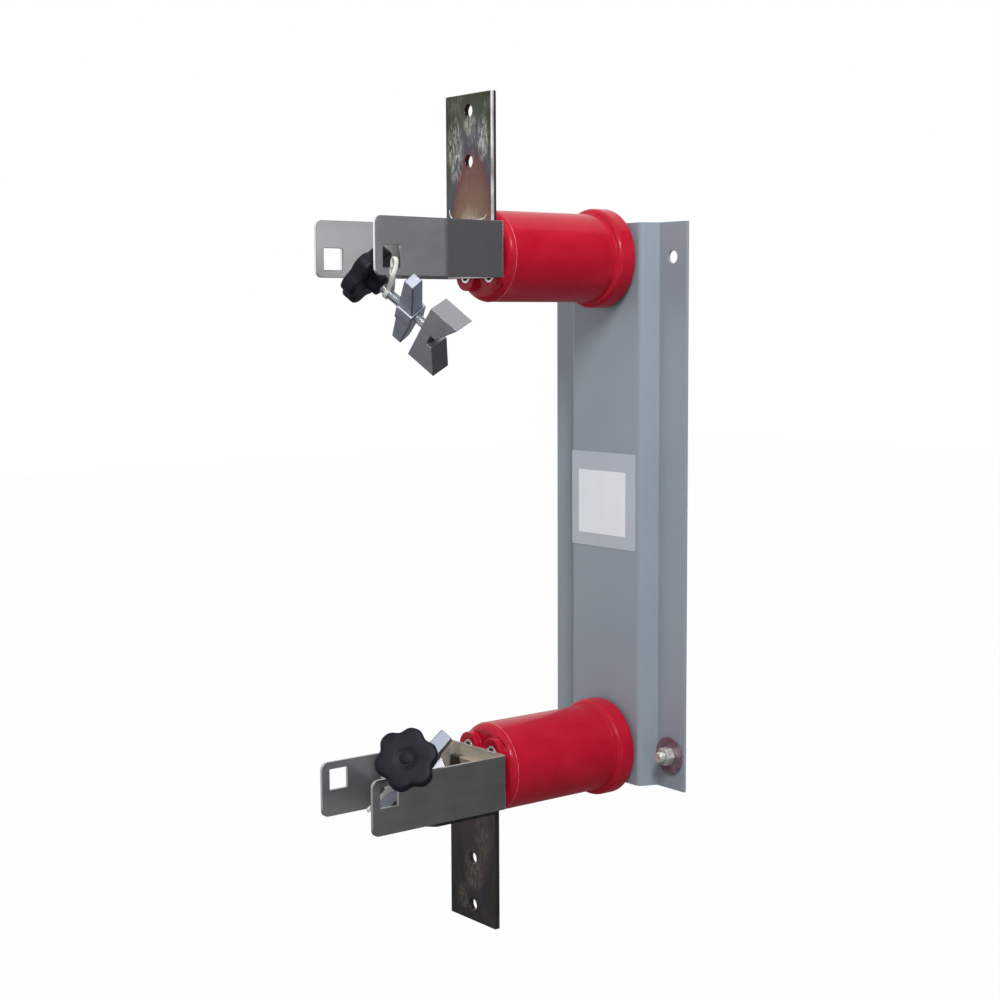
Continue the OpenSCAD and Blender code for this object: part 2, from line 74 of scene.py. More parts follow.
# %% [markdown]
# ## Camera
# The photograph was taken from the right, slightly above, with a long lens. A camera
# could be aimed by eye, but a fitted one keeps every edge within a pixel or two, so its
# place, its turn and its focal length are written as numbers. The frame is square.

# %% Aim the camera
CAMERA_AT = (1.196962, -1.071887, 0.164316)
PHOTO_PX, FOCAL_PX, SENSOR_MM = 1000, 1792.857, 36
azimuth, elevation, roll = (math.radians(a) for a in (52.033, 5.732, -0.258))
ahead = Vector((-math.sin(azimuth) * math.cos(elevation),
                math.cos(azimuth) * math.cos(elevation), -math.sin(elevation)))
level = Vector((math.cos(azimuth), math.sin(azimuth), 0))
upright = level.cross(ahead)
right = math.cos(roll) * level + math.sin(roll) * upright
up = -math.sin(roll) * level + math.cos(roll) * upright
camera = bpy.data.objects.new("camera", bpy.data.cameras.new("camera"))
bpy.context.scene.collection.objects.link(camera)
camera.matrix_world = Matrix.Translation(CAMERA_AT) @ Matrix(
    (right, up, -ahead)).transposed().to_4x4()
camera.data.sensor_width = SENSOR_MM
camera.data.lens = FOCAL_PX * SENSOR_MM / PHOTO_PX
camera.data.clip_end = 50
bpy.context.scene.camera = camera
bpy.context.scene.view_settings.view_transform = "Standard"
print("lens in mm:", round(camera.data.lens, 2))

# %% [markdown]
# ## A way to write shader maths
# A material is a web of nodes. Adding each Math node by hand hides the idea behind the
# wiring, so one small class wraps a socket and turns plain arithmetic into Math nodes.
# The reflected forms let a number stand on the left, as in 1 - mask.

# %% Sockets that can be added up
class Wire:
    def __init__(self, finish, socket):
        self.finish, self.socket = finish, socket

    def math(self, operation, *values):
        return self.finish.node("ShaderNodeMath", {"operation": operation},
                                dict(enumerate(values)))

    def __add__(self, other):
        return self.math("ADD", self, other)

    def __sub__(self, other):
        return self.math("SUBTRACT", self, other)

    def __rsub__(self, other):
        return self.math("SUBTRACT", other, self)

    def __mul__(self, other):
        return self.math("MULTIPLY", self, other)

    def __truediv__(self, other):
        return self.math("DIVIDE", self, other)

    __radd__ = __add__
    __rmul__ = __mul__

    def to_power(self, exponent):
        return self.math("POWER", self, exponent)

    def size(self):
        return self.math("ABSOLUTE", self)

    def at_most(self, limit):
        return self.math("MINIMUM", self, limit)

    def at_least(self, other):
        return self.math("MAXIMUM", self, other)

    def step(self, low, high):
        """0 below low, 1 above high and a straight rise between."""
        return self.finish.node("ShaderNodeMapRange", {"clamp": True},
                                {0: self, 1: low, 2: high, 3: 0.0, 4: 1.0})


# %% [markdown]
# ## One class for every finish
# All finishes share the same start: a Principled shader, places on the piece in metres,
# and noise at a size that is read in millimetres. Image textures would need files and
# would smear on other views, so every pattern here is computed from the place itself.

# %% Finishes built from nodes
class Finish:
    def __init__(self, name, colour=(0.5, 0.5, 0.5), **shader):
        self.material = bpy.data.materials.new(name)
        self.material.use_nodes = True
        self.tree = self.material.node_tree
        self.tree.nodes.clear()
        self.shader = self.tree.nodes.new("ShaderNodeBsdfPrincipled")
        output = self.tree.nodes.new("ShaderNodeOutputMaterial")
        self.tree.links.new(self.shader.outputs[0], output.inputs[0])
        self.material.diffuse_color = (*colour, 1)
        self.set(Base_Color=colour, **shader)
        self.spot = self.node("ShaderNodeTexCoord", out="Object")

    def node(self, kind, settings=None, sockets=None, out=0):
        """Adds a node: settings first, then the values or links of its sockets."""
        node = self.tree.nodes.new(kind)
        for key, value in (settings or {}).items():
            if key == "stops":
                elements = node.color_ramp.elements
                while len(elements) < len(value):
                    elements.new(0.5)
                for element, (place, colour) in zip(elements, value):
                    element.position = place
                    element.color = (*colour, 1)
            else:
                setattr(node, key, value)
        for key, value in (sockets or {}).items():
            self.plug(node.inputs[key], value)
        return Wire(self, node.outputs[out])

    def plug(self, socket, value):
        if isinstance(value, Wire):
            self.tree.links.new(value.socket, socket)
        elif socket.type == "RGBA":
            socket.default_value = (*value[:3], 1)
        else:
            socket.default_value = value

    def set(self, **values):
        for key, value in values.items():
            self.plug(self.shader.inputs[key.replace("_", " ")], value)
        return self

    def noise(self, size_mm, detail=3.0, stretch=(1, 1, 1), rough=0.5, warp=0.0, shift=0.0):
        """Smooth noise whose blobs measure about size_mm, drawn out by stretch."""
        spot = self.node("ShaderNodeMapping", {}, {
            "Vector": self.spot, "Location": (shift, shift * 0.7, -shift),
            "Scale": tuple(1 / s for s in stretch)})
        return self.node("ShaderNodeTexNoise", {"noise_dimensions": "3D"}, {
            "Vector": spot, "Scale": 1 / (size_mm * MM), "Detail": detail,
            "Roughness": rough, "Distortion": warp})

    def patches(self, first, second, size_mm, detail=2, low=0.3, high=0.7, **more):
        """Two tones that drift into each other in patches of about size_mm."""
        return self.mix(first, second, self.noise(size_mm, detail, **more).step(low, high))

    def axis(self, which):
        """The place along X, Y or Z in millimetres."""
        split = self.node("ShaderNodeSeparateXYZ", {}, {0: self.spot},
                          out="XYZ".index(which))
        return split * (1 / MM)

    def facing(self, which):
        """The surface normal's share along X, Y or Z, in the piece's own frame."""
        turned = self.node("ShaderNodeTexCoord", out="Normal")
        return self.node("ShaderNodeSeparateXYZ", {}, {0: turned},
                         out="XYZ".index(which))

    def mix(self, first, second, factor):
        return self.node("ShaderNodeMix", {"data_type": "RGBA"},
                         {0: factor, 6: first, 7: second}, out=2)

    def ramp(self, value, *stops):
        return self.node("ShaderNodeValToRGB", {"stops": stops}, {0: value})

    def bump(self, height, depth_mm, strength, under=None):
        sockets = {"Height": height, "Distance": depth_mm * MM, "Strength": strength}
        if under is not None:
            sockets["Normal"] = under
        return self.node("ShaderNodeBump", {}, sockets)


# %% [markdown]
# ## Grey paint
# The channel is powder coated: an even blue-grey with a fine orange peel that only shows
# in its highlights. The peel goes into the normal, and slow noise in the colour keeps the
# wide web from looking like flat card. A few pale scuffs come from handling.

# %% Grey paint
paint = Finish("grey_paint", (0.235, 0.275, 0.315), Roughness=0.42, Specular_IOR_Level=0.4)
scuff = paint.noise(2.4, 4, stretch=(1, 1, 5), warp=0.6).step(0.72, 0.80)
tone = paint.patches((0.250, 0.291, 0.336), (0.276, 0.317, 0.362), 120)
paint.set(Base_Color=paint.mix(tone, (0.36, 0.39, 0.42), scuff * 0.22),
          Roughness=paint.noise(25, 2) * 0.10 + scuff * 0.1 + 0.36)
paint.set(Normal=paint.bump(paint.noise(1.1, 2), 0.02, 0.45))
print("paint nodes:", len(paint.tree.nodes))

# %% [markdown]
# ## Red moulding
# The standoffs are cast from red epoxy in a polished mould. They are glossy, a little
# uneven where the resin shrank, with a few paler specks of dust. A thin clear coat gives
# the sharp reflection over the softer one underneath.

# %% Red moulding
red = Finish("red_moulding", (0.43, 0.006, 0.022), Roughness=0.3, Coat_Weight=0.14,
             Coat_Roughness=0.05, Specular_IOR_Level=0.12)
cloud = red.noise(38, 3, rough=0.6, warp=0.6)
specks = red.noise(1.6, 2).step(0.76, 0.82)
red_tone = red.mix((0.385, 0.004, 0.019), (0.450, 0.008, 0.027), cloud.step(0.32, 0.68))
red.set(Base_Color=red.mix(red_tone, (0.58, 0.10, 0.11), specks * 0.12),
        Roughness=cloud * 0.08 + specks * 0.12 + 0.25)
fine_peel = red.bump(red.noise(2.2, 2), 0.008, 0.4)
red.set(Normal=red.bump(red.noise(22, 2), 0.05, 0.25, fine_peel))
flash = Finish("mould_line", (0.62, 0.07, 0.09), Roughness=0.28, Coat_Weight=0.3)
flash.set(Base_Color=flash.patches((0.5, 0.03, 0.05), (0.72, 0.16, 0.18), 4,
                                   low=0.35, high=0.65))
print("red nodes:", len(red.tree.nodes))

# %% [markdown]
# ## Brushed stainless sheet
# The clips are bent from sheet that was brushed along its length, so its scratches run
# from the bend to the tips, with Y. Noise drawn out thirty times along Y gives the
# strokes. Near the weld the sheet is stained brown. Its colour also carries painted light:
# a painted dark reflection on the right arm near the bar, a painted sheen on the left arm
# and painted shade inside it. Its sheared edges have a finish of their own, with painted
# shade where they face down.

# %% Stainless sheet
# Where each mark starts and ends, in mm: the arms along X, and along Y the painted dark
# reflection at the crease in the right arm, the painted shade inside the left one and the
# stain beside the web
ARMS, CREASE, INNER_SHADE, STAIN = (30.0, 33.0), (-224.0, -219.0), (-238.0, -212.0), (-186.0, -170.0)


def stainless(name, dark, pale, weld_z, tan, painted_dark, left_painted_sheen):
    """Brushed sheet: weld_z is the height in mm where heat has stained it. Of the last two
    numbers, the first sets the painted dark reflection at the bend and the painted shade
    inside the left arm, and the second the painted sheen on the left arm."""
    steel = Finish(name, pale, Metallic=1.0, Roughness=0.36)
    strokes = steel.noise(0.9, 3, stretch=(1, 34, 1), rough=0.65)
    wide = steel.noise(7, 2, stretch=(1, 14, 1))
    patch = steel.noise(26, 3, rough=0.6, warp=0.8)
    base = steel.mix(dark, pale, (strokes * 0.4 + wide * 0.3 + patch * 0.3).step(0.32, 0.68))
    depth = steel.axis("Y")
    # The right arm was bent out at its middle, and its outside near the bar is painted
    # darker: a painted reflection of that bend
    outside = steel.axis("X").step(*ARMS) * steel.facing("X").step(0.2, 0.6)
    dark_reflection = (depth + patch * 8.0).step(*CREASE) * outside * painted_dark
    base = steel.mix(base, tuple(c / 2 for c in dark), dark_reflection)
    # The left arm is painted paler: a painted sheen
    left = (steel.axis("X") * -1.0).step(*ARMS) * left_painted_sheen
    base = steel.mix(base, (0.80, 0.80, 0.82), left)
    # Its inside is painted dark near the weld: painted shade inside the clip
    inner_shade = left * depth.step(*INNER_SHADE) * steel.facing("X").step(0.3, 0.6) * painted_dark
    base = steel.mix(base, (0.06, 0.055, 0.055), inner_shade)
    near_weld = 1 - (steel.axis("Z") - weld_z).size().step(6.0, 18.0)
    heat = near_weld * depth.step(*STAIN) * patch.step(0.2, 0.45) * (1 - outside)
    base = steel.mix(base, tan, heat * 0.85)
    steel.set(Base_Color=base, Roughness=strokes * 0.10 + patch * 0.08 + 0.26,
              Metallic=1 - (heat * 0.7 + left * 0.25).at_most(0.8))
    scratch = steel.noise(2.2, 3, stretch=(1, 7, 1), warp=1.5).step(0.66, 0.7)
    steel.set(Normal=steel.bump(strokes, 0.012, 0.5, steel.bump(scratch, 0.012, 0.3)))
    return steel


sheet_upper = stainless("stainless_upper", (0.80, 0.80, 0.83), (0.92, 0.92, 0.95),
                        245.0, (0.30, 0.22, 0.13), 0.95, 0.95)
# The lower clip is the same sheet, written darker than the upper as painted shade
sheet_lower_shaded = stainless("stainless_lower_shaded", (0.34, 0.34, 0.34), (0.43, 0.43, 0.435),
                        -208.0, (0.62, 0.54, 0.42), 0.0, 0.3)
cut_edge = Finish("cut_edge", (0.48, 0.48, 0.49), Metallic=1.0, Roughness=0.35)
sheared = cut_edge.patches((0.27, 0.27, 0.28), (0.46, 0.46, 0.47), 1.4, 3, rough=0.7)
# Painted shade: the sheared edges that face down are written almost black
down_facing_shade = (cut_edge.facing("Z") * -1.0).step(0.3, 0.6)
cut_edge.set(Base_Color=cut_edge.mix(sheared, (0.06, 0.06, 0.062), down_facing_shade),
             Roughness=cut_edge.noise(3, 2) * 0.2 + 0.24)
dull_edge = Finish("dull_edge", (0.42, 0.42, 0.43), Metallic=1.0, Roughness=0.4)
dull_edge.set(Base_Color=dull_edge.patches((0.26, 0.26, 0.265), (0.40, 0.40, 0.405), 1.4, 3,
                                           rough=0.7))
dark_plate = Finish("shaded_plate", (0.06, 0.06, 0.062), Metallic=1.0, Roughness=0.45)
dark_plate.set(Base_Color=dark_plate.patches((0.045, 0.045, 0.046), (0.085, 0.083, 0.08),
                                             9, 3))
print("sheet nodes:", len(sheet_upper.tree.nodes))

# %% [markdown]
# ## Heat-tinted bars
# Both terminal bars were welded to their clips. Steel that has been hot carries thin
# oxide films: straw at the weld, then brown and purple, then blue, and a dull olive skin
# further out. A colour ramp along the distance from the weld, bent by noise, gives the
# bands. Bright scratches cut through them where the bar was handled.

# %% Terminal bars
BAR_MIDDLE_X, BAR_HALF_WIDTH, BAR_ROOT_Z = 5.0, 31.25, 247.0
# Y of the line on the bar's side where the painted highlight ends, and X of the side itself
HIGHLIGHT_END, HIGHLIGHT_FROM = (-167.3, -166.7), 30.2


def tinted_bar(name, side, reach_mm, stops, scratch_tone, scratch_share, rubs):
    """side is +1 above and -1 below; rubs are [x, z, half width, half height] in mm."""
    bar = Finish(name, (0.2, 0.17, 0.14), Metallic=1.0 if side > 0 else 0.5, Roughness=0.3)
    drift = bar.noise(24, 3, rough=0.6, warp=0.8)
    grain = bar.noise(0.8, 3, stretch=(1, 1, 26), rough=0.65)
    streaks = bar.noise(3.2, 3, stretch=(1, 1, 12), rough=0.6)
    edge = (bar.axis("X") - BAR_MIDDLE_X).size() / BAR_HALF_WIDTH
    out = (bar.axis("Z") * side - BAR_ROOT_Z) / reach_mm
    # The tint reaches highest near the middle, because the sides cooled first
    cooled = (edge.to_power(3.0) * 1.2).at_most(0.9)
    band = (out + cooled + drift * 0.45 + streaks * 0.22 - 0.33) * 0.5
    skin = bar.ramp(band, *stops)
    skin = bar.mix(skin, (0.02, 0.02, 0.018), grain.step(0.45, 0.75) * 0.22)
    flakes = bar.noise(1.6, 5, stretch=(1, 1, 5.0), rough=0.7, warp=0.5).step(0.45, 0.62)
    where = bar.noise(22, 2, shift=3.7).step(0.50, 0.64) * out.step(0.6, 0.9) * 0.3
    for x_mm, z_mm, half_x, half_z in rubs:
        over = (bar.axis("X") - x_mm) / half_x
        along = (bar.axis("Z") - z_mm) / half_z
        rubbed = 1 - (over * over + along * along + drift * 0.8).step(0.6, 1.5)
        where = where.at_least(rubbed)
    skin = bar.mix(skin, scratch_tone, flakes * where * scratch_share)
    bar.set(Base_Color=skin, Roughness=grain * 0.12 + flakes * where * 0.2 + 0.24)
    bar.set(Normal=bar.bump(flakes, 0.02, 0.3, bar.bump(grain, 0.010, 0.35)))
    return bar


bar_upper = tinted_bar("bar_upper", 1, 57, [
    (0.00, (0.42, 0.38, 0.30)), (0.05, (0.30, 0.24, 0.17)),
    (0.12, (0.215, 0.135, 0.095)), (0.30, (0.175, 0.095, 0.075)),
    (0.42, (0.150, 0.070, 0.066)), (0.49, (0.085, 0.072, 0.092)),
    (0.58, (0.080, 0.095, 0.118)), (0.70, (0.082, 0.088, 0.074)),
    (0.85, (0.060, 0.068, 0.046)), (1.00, (0.044, 0.056, 0.032))],
    (0.62, 0.61, 0.56), 0.9, [(-18, 304, 12, 28), (20, 312, 8, 20), (2, 324, 9, 10)])
bar_lower = tinted_bar("bar_lower", -1, 95, [
    (0.00, (0.50, 0.42, 0.33)), (0.05, (0.062, 0.052, 0.046)),
    (0.20, (0.058, 0.046, 0.039)), (0.34, (0.060, 0.045, 0.038)),
    (0.46, (0.030, 0.032, 0.037)), (0.58, (0.046, 0.040, 0.031)),
    (0.80, (0.036, 0.036, 0.031)), (1.00, (0.022, 0.028, 0.033))],
    (0.26, 0.215, 0.175), 0.6, [(14, -272, 12, 24), (2, -305, 16, 20), (-12, -330, 10, 12)])
# Painted highlight: the streak of light on the upper bar's right side is in this finish
highlight_edge = Finish("painted_highlight_edge", (0.80, 0.77, 0.76), Metallic=0.35, Roughness=0.3)
# Only the front half of the side carries it, and the rest is written almost black
behind = highlight_edge.axis("Y").step(*HIGHLIGHT_END)
highlight = highlight_edge.patches((0.26, 0.24, 0.235), (0.70, 0.67, 0.66), 9, 3,
                               low=0.35, high=0.6, stretch=(1, 1, 3))
highlight_edge.set(Base_Color=highlight_edge.mix(highlight, (0.035, 0.030, 0.034), behind))
weld = Finish("weld_bead", (0.70, 0.66, 0.56), Metallic=1.0, Roughness=0.35)
weld.set(Base_Color=weld.patches((0.50, 0.43, 0.33), (0.92, 0.90, 0.84), 2.6, 3,
                                 high=0.55, rough=0.6),
         Normal=weld.bump(weld.noise(0.9, 2), 0.08, 0.6))
print("bar nodes:", len(bar_upper.tree.nodes))

# %% [markdown]
# ## Small metal parts
# Zinc plated screws, shot-blasted castings, the moulded-in bushes and the red-violet
# chromate on the ground fixing. They share a recipe and differ in tone, gloss and grain.
# The jaws also get painted light on their tops and painted shade on their faces along X.

# %% Small metal parts
def plated(name, dark, pale, rough, grain_mm, blob_mm, depth=0.01, metallic=1.0):
    """Two tones in blobs, with a grain of its own size that is depth mm deep."""
    metal = Finish(name, pale, Metallic=metallic, Roughness=rough)
    blobs = metal.noise(blob_mm, 3, rough=0.6, warp=0.6)
    grain = metal.noise(grain_mm, 3, rough=0.6)
    metal.set(Base_Color=metal.mix(dark, pale, (blobs * 0.7 + grain * 0.3).step(0.34, 0.66)),
              Roughness=blobs * 0.16 + rough - 0.08,
              Normal=metal.bump(grain, depth, 0.6))
    return metal


def lit_top_shaded_side(metal, top_light, dark):
    """Painted light on faces that look up, and painted shade on faces along X."""
    skin = Wire(metal, metal.shader.inputs["Base Color"].links[0].from_socket)
    skin = metal.mix(skin, top_light, metal.facing("Z").step(0.3, 0.5))
    metal.set(Base_Color=metal.mix(skin, dark, metal.facing("X").step(0.76, 0.84)))


zinc = plated("zinc_screw", (0.44, 0.48, 0.50), (0.74, 0.78, 0.80), 0.26, 0.7, 7)
fastener = plated("plated_fastener", (0.36, 0.34, 0.29), (0.60, 0.58, 0.50), 0.32, 0.8, 6)
bush = plated("moulded_bush", (0.60, 0.60, 0.60), (0.88, 0.88, 0.88), 0.28, 0.8, 5)
casting = plated("cast_crossbar", (0.42, 0.45, 0.55), (0.55, 0.58, 0.69), 0.42, 0.55, 12,
                 depth=0.04)
casting_low = plated("cast_crossbar_low", (0.24, 0.26, 0.32), (0.33, 0.35, 0.42), 0.55,
                     0.55, 12, depth=0.04)
jaw_metal = plated("cast_jaw", (0.205, 0.210, 0.230), (0.265, 0.270, 0.295), 0.40, 0.5, 14,
                   depth=0.03)
cast_edge = plated("cast_edge", (0.19, 0.195, 0.22), (0.29, 0.295, 0.32), 0.42, 0.6, 5,
                   depth=0.02)
# Painted light on the jaws' tops and painted shade on their faces along X
lit_top_shaded_side(jaw_metal, (0.41, 0.415, 0.45), (0.105, 0.105, 0.107))
violet = plated("violet_zinc", (0.165, 0.118, 0.150), (0.30, 0.228, 0.275), 0.36, 0.9, 6,
                metallic=0.55)
stud_metal = plated("stud_zinc", (0.36, 0.35, 0.36), (0.80, 0.82, 0.79), 0.36, 0.6, 4,
                    metallic=0.5)
print("materials so far:", len(bpy.data.materials))

# %% [markdown]
# ## Knob, ties and label
# The knobs are phenolic: almost black, with the satin skin of a textured mould. The ties
# are natural nylon, which lets a little light in, so they are never quite white. The
# label is a silver film with a paler field.

# %% Knob, ties and label
black = Finish("black_phenolic", (0.011, 0.013, 0.019), Roughness=0.42,
               Specular_IOR_Level=0.12)
haze = black.noise(16, 3, rough=0.6, warp=0.5)
black.set(Base_Color=black.mix((0.005, 0.006, 0.0095), (0.012, 0.0145, 0.0215),
                               haze.step(0.3, 0.7)),
          Roughness=haze * 0.12 + 0.38,
          Normal=black.bump(black.noise(0.5, 2), 0.015, 0.5))
nylon = Finish("natural_nylon", (0.72, 0.71, 0.66), Roughness=0.4)
nylon.set(Base_Color=nylon.patches((0.66, 0.655, 0.60), (0.78, 0.775, 0.73), 5),
          Normal=nylon.bump(nylon.noise(0.6, 2), 0.008, 0.3))
film = Finish("label_film", (0.46, 0.50, 0.55), Roughness=0.38, Coat_Weight=0.15)
film.set(Base_Color=film.patches((0.420, 0.460, 0.520), (0.450, 0.490, 0.550), 30),
         Normal=film.bump(film.noise(18, 2), 0.04, 0.25))
panel = Finish("label_panel", (0.68, 0.69, 0.74), Roughness=0.5)
panel.set(Base_Color=panel.patches((0.80, 0.815, 0.87), (0.83, 0.845, 0.90), 22))
print("materials:", len(bpy.data.materials))

# %% [markdown]
# ## Putting a piece in place
# Every new mesh goes through one function. It links the object, shades it smooth up to a
# set angle, gives it its finish, and ties it to the body it moves with. When it stands
# for a solid, that solid is hidden and still collides. Most meshes here are rings of
# points joined into a tube, so the faces between rings have a helper too.

# %% Add a piece
def add_piece(name, mesh, body, finishes, replaces=(), smooth=32):
    """smooth is the angle in degrees above which an edge stays sharp."""
    piece = bpy.data.objects.new(name, mesh)
    bpy.context.scene.collection.objects.link(piece)
    mesh.materials.clear()
    for finish in finishes:
        mesh.materials.append(finish.material)
    if smooth is not None:
        mesh.polygons.foreach_set("use_smooth", [True] * len(mesh.polygons))
        mesh.set_sharp_from_angle(angle=math.radians(smooth))
        mesh.update()
    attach(piece, body)
    if replaces:
        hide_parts(*replaces)
    return piece


def mesh_from(name, verts, faces):
    """A mesh from places in metres."""
    mesh = bpy.data.meshes.new(name)
    mesh.from_pydata([tuple(v) for v in verts], [], faces)
    mesh.validate()
    return mesh


def mounted(node):
    """The body that a solid rides on."""
    return frame["nodes"][node]["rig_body"]


def tube_faces(rings, around, closed=False):
    """Quads between neighbouring rings of points, and a cap at each end of an open tube."""
    faces = []
    for k in range(rings if closed else rings - 1):
        near, far = k * around, (k + 1) % rings * around
        for i in range(around):
            j = (i + 1) % around
            faces.append((near + i, near + j, far + j, far + i))
    if not closed:
        faces.append(tuple(range(around - 1, -1, -1)))
        faces.append(tuple((rings - 1) * around + i for i in range(around)))
    return faces


# %% [markdown]
# ## Broken edges
# Real sheet, bar and castings never end in a perfect corner, and an edge without a radius
# catches no light. The bevel could sit in the material, but then other renderers lose it,
# so a copy of the solid is welded, its flat faces are merged, and its edges are bevelled
# as geometry. The bevel's faces may take a second finish, such as a bright cut edge.

# %% Bevel a copy of a solid
def softened(node, finishes, width_mm, segments, angle=35):
    """A bevelled copy of a solid; edges sharper than angle degrees are bevelled."""
    tidy = bmesh.new()
    tidy.from_mesh(frame["nodes"][node].data)
    bmesh.ops.remove_doubles(tidy, verts=tidy.verts, dist=2e-6)
    bmesh.ops.dissolve_limit(tidy, angle_limit=math.radians(0.5), verts=tidy.verts,
                             edges=tidy.edges)
    raw = bpy.data.meshes.new(node + "_raw")
    tidy.to_mesh(raw)
    tidy.free()
    raw.polygons.foreach_set("use_smooth", [True] * len(raw.polygons))
    maker = bpy.data.objects.new("maker", raw)
    bpy.context.scene.collection.objects.link(maker)
    bevel = maker.modifiers.new("edge", "BEVEL")
    bevel.width = width_mm * MM
    bevel.segments = segments
    bevel.limit_method = "ANGLE"
    bevel.angle_limit = math.radians(angle)
    bevel.use_clamp_overlap = False
    bevel.miter_outer = "MITER_ARC"
    bevel.material = 1 if len(finishes) > 1 else -1
    # The wide faces lend their normals to the bevels, so that flat stock stays flat
    weigh = maker.modifiers.new("flat", "WEIGHTED_NORMAL")
    weigh.mode, weigh.weight, weigh.keep_sharp = "FACE_AREA", 90, True
    for _ in finishes:
        raw.materials.append(None)
    ready = bpy.data.meshes.new_from_object(
        maker.evaluated_get(bpy.context.evaluated_depsgraph_get()))
    slots = [p.material_index for p in ready.polygons]
    bpy.data.objects.remove(maker)
    piece = add_piece("show_" + node, ready, mounted(node), finishes, [node], None)
    ready.polygons.foreach_set("material_index", slots)
    return piece


channel = softened("mounting_base", [paint], 0.45, 4)
print("channel triangles:", sum(len(p.vertices) - 2 for p in channel.data.polygons))

# %% [markdown]
# ## Standoffs
# Each standoff is one moulding: a barrel, a rounded rear flare and a four-lobed boss at
# the front with a bush in each lobe. A wide soft bevel rounds the boss. The two halves of
# the mould leave a fine line round the front of the barrel, which is a thin ring here.

# %% Standoffs
def ring_bead(radius, y, z, bead, steps=160, around=8):
    """A thin ring in mm round an axis that points out of the wall."""
    verts = []
    for i in range(steps):
        a = 2 * math.pi * i / steps
        for j in range(around):
            b = 2 * math.pi * j / around
            r = radius + bead * math.cos(b)
            verts.append(Vector((r * math.cos(a), y + bead * 1.6 * math.sin(b),
                                 z + r * math.sin(a))) * MM)
    return verts, tube_faces(steps, around, closed=True)


for side, label in ((1, "upper"), (-1, "lower")):
    softened("insulator_" + label, [red], 0.9, 3, angle=42)
    verts, faces = ring_bead(radius=38.12, y=-148.8, z=side * STANDOFF_Z, bead=0.22)
    add_piece("mould_line_" + label, mesh_from("mould_line_" + label, verts, faces),
              mounted("insulator_" + label), [flash], smooth=180)
print("standoffs dressed")

# %% [markdown]
# ## Clips, bars and plate
# These are flat stock with broken edges. The clip's edges were sheared, so they show
# bare metal. The upper bar's right side shows a streak of light, which is painted as a
# highlight into the second finish on the faces on its right.

# %% Clips, bars and plate
softened("clip_upper", [sheet_upper, cut_edge], 0.4, 3)
softened("clip_lower", [sheet_lower_shaded, dull_edge], 0.4, 3)
softened("seat_plate", [dark_plate], 0.5, 3)
bar = softened("terminal_upper", [bar_upper, highlight_edge], 1.1, 4)
# The faces on the bar's right take the painted highlight
for face in bar.data.polygons:
    face.material_index = 1 if face.center.x > HIGHLIGHT_FROM * MM else 0
softened("terminal_lower", [bar_lower], 0.6, 4)
print("bar faces with the polished finish:", sum(f.material_index for f in bar.data.polygons))

# %% [markdown]
# ## Weld beads
# The bars are welded in. A bead is a row of overlapping ripples, so its tube swells and
# shrinks along its way, and its ends turn up the bar's sides.

# %% Weld beads
def bead_along(name, points, radius_mm, ripple_mm=1.3, around=10):
    """A rippled bead along a route of places in mm."""
    route = [Vector(p) * MM for p in points]
    steps = []
    for a, b in zip(route, route[1:]):
        count = max(2, int((b - a).length / (ripple_mm * MM / 4)))
        steps += [a.lerp(b, i / count) for i in range(count)]
    steps.append(route[-1])
    verts, way, last = [], 0.0, len(steps) - 1
    for i, p in enumerate(steps):
        before, after = steps[max(i - 1, 0)], steps[min(i + 1, last)]
        onward = (after - before).normalized()
        sideways = onward.cross(Vector((0, -1, 0))).normalized()
        outwards = onward.cross(sideways)
        way += (p - before).length / MM
        taper = min(1.0, 3.0 * min(i, last - i) / len(steps) + 0.25)
        ripple = 1 + 0.16 * abs(math.sin(math.pi * way / ripple_mm))
        size = radius_mm * MM * taper * (ripple + 0.25 * noise.noise(p * 180))
        for j in range(around):
            t = 2 * math.pi * j / around
            verts.append(p + sideways * size * math.cos(t)
                         + outwards * size * 0.75 * math.sin(t))
    return add_piece(name, mesh_from(name, verts, tube_faces(len(steps), around)), root,
                     [weld], smooth=60)


root = mounted("mounting_base")
bead_along("weld_upper", [(-26.8, -169.5, 256.0), (-25.4, -169.5, 251.6),
                          (-21.8, -169.5, 248.0), (-15, -169.5, 246.2),
                          (0, -169.5, 245.6), (16, -169.5, 245.9), (22, -169.5, 247.4),
                          (24.8, -169.5, 251.0)], 1.2)
for hand, x in (("left", -32.6), ("right", 32.6)):
    bead_along("weld_lower_" + hand,
               [(x, -166.4, -212.0), (x, -166.2, -226), (x, -166.4, -242.5)], 1.7)
    bead_along("weld_inner_" + hand,
               [(x, -166.4, 212.0), (x, -166.2, 226), (x, -166.4, 242.0)], 1.7)
print("welds laid")

# %% [markdown]
# ## Label
# The web carries a silver film with a white field. Film has rounded corners and lies on
# the paint, so each is a thin card a fraction of a millimetre proud of what is under it.

# %% Label
def rounded_card(x0, x1, z0, z1, corner, back, thick, steps=6):
    """A thin card with rounded corners, in mm; back is the Y of its rear face."""
    rim = []
    for cx, cz, a0 in ((x1 - corner, z1 - corner, 0), (x0 + corner, z1 - corner, 90),
                       (x0 + corner, z0 + corner, 180), (x1 - corner, z0 + corner, 270)):
        for i in range(steps + 1):
            a = math.radians(a0 + 90 * i / steps)
            rim.append((cx + corner * math.cos(a), cz + corner * math.sin(a)))
    verts = []
    for depth, inset in ((0, 0), (thick * 0.6, 0), (thick, 0.12)):
        for x, z in rim:
            x -= inset * (1 if x > (x0 + x1) / 2 else -1)
            z -= inset * (1 if z > (z0 + z1) / 2 else -1)
            verts.append(Vector((x, back - depth, z)) * MM)
    return verts, tube_faces(3, len(rim))


